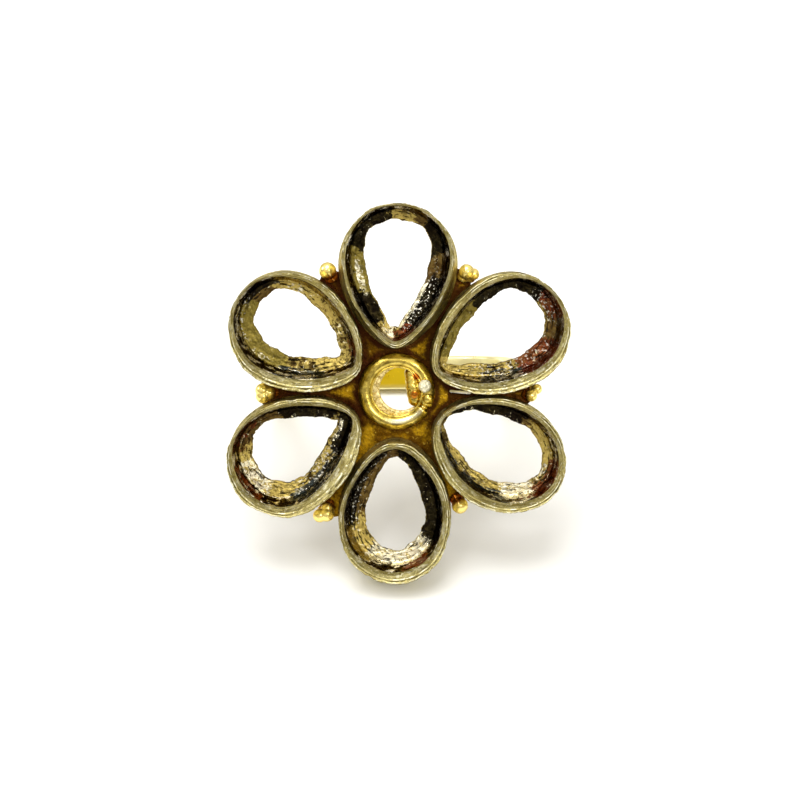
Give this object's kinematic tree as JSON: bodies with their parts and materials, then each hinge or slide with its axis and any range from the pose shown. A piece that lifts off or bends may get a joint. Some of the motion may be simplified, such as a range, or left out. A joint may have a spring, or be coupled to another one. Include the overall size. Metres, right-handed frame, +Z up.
{
  "type": "flower ring mount of pear bezel cups",
  "caption": "Finger ring mount: open-backed pear bezel cups set like petals round a wire ring on a star plate, with a flat finger band behind.",
  "frame": {"origin": "on the surface it rests on, under the middle of its box", "axes": "+Z up, +X to the right of the flower seen from its face; the flower faces -Y and leans back, and the finger band runs to +Y"},
  "size_m": [0.0236, 0.0264, 0.0236],
  "materials": {
    "cup_metal": "worn grey-gold outside and on the rims, black patina inside",
    "gold_metal": "gold-plated, polished"
  },
  "bodies": {
    "root": {"cup_top": "cup_metal", "cup_upper_right": "cup_metal", "cup_lower_right": "cup_metal", "cup_bottom": "cup_metal", "cup_lower_left": "cup_metal", "cup_upper_left": "cup_metal", "base_plate": "gold_metal", "centre_ring": "gold_metal", "shank": "gold_metal", "grains_upper_left": "gold_metal", "grains_upper_right": "gold_metal", "grains_left": "gold_metal", "grains_right": "gold_metal", "grains_lower_left": "gold_metal", "grains_lower_right": "gold_metal"}
  },
  "joints": []
}
